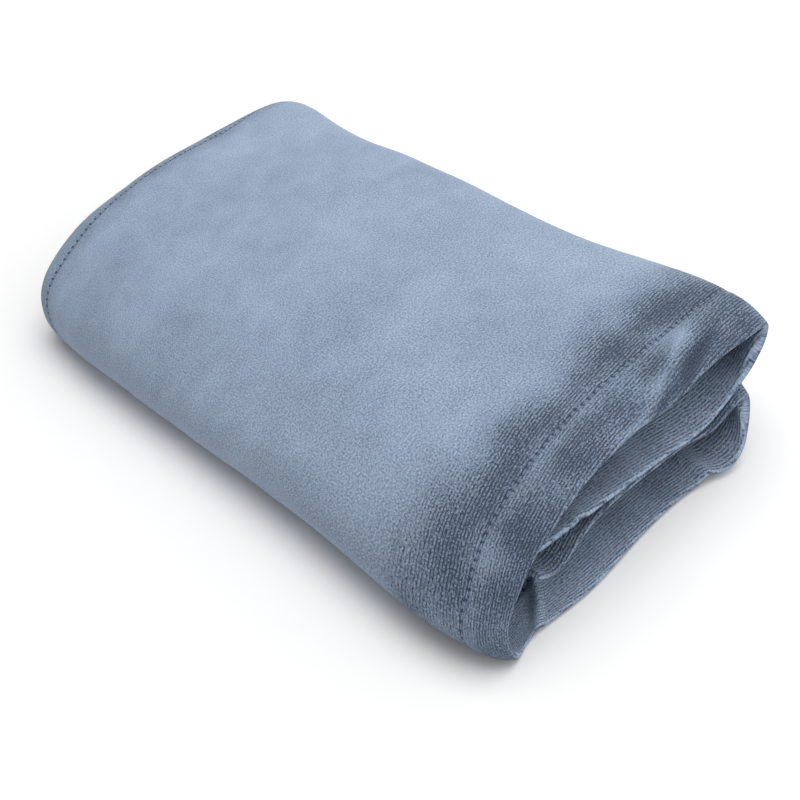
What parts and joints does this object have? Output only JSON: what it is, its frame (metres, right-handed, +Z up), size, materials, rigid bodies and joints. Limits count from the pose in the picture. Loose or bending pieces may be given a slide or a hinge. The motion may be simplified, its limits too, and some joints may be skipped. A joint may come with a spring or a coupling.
{
  "type": "folded quick dry towel",
  "caption": "Short-pile microfibre velour towel with wide stitched hems, folded like a gate and then in half, lying flat with its layered end open.",
  "frame": {"origin": "middle of the bottom face, where the folded towel lies on a table", "axes": "+Z up, +Y along the bundle from its open near end to its far end, +X from the back fold to the two noses of the gate fold"},
  "size_m": [0.1992, 0.3137, 0.072],
  "materials": {
    "velour": "slate blue short-pile microfibre velour, softly ribbed, matte with a faint sheen",
    "velour_hem": "the same velour turned under and stitched, with the ribs showing more",
    "needle_thread": "dark blue polyester sewing thread, pulled into the pile",
    "bobbin_thread": "dark blue polyester sewing thread on the back"
  },
  "bodies": {
    "root": {"towel_field": "velour", "near_hem": "velour_hem", "far_hem": "velour_hem", "upper_side_hem": "velour_hem", "lower_side_hem": "velour_hem", "near_needle_thread": "needle_thread", "far_needle_thread": "needle_thread", "upper_side_needle_thread": "needle_thread", "lower_side_needle_thread": "needle_thread", "near_bobbin_thread": "bobbin_thread", "far_bobbin_thread": "bobbin_thread", "upper_side_bobbin_thread": "bobbin_thread", "lower_side_bobbin_thread": "bobbin_thread"}
  },
  "joints": []
}
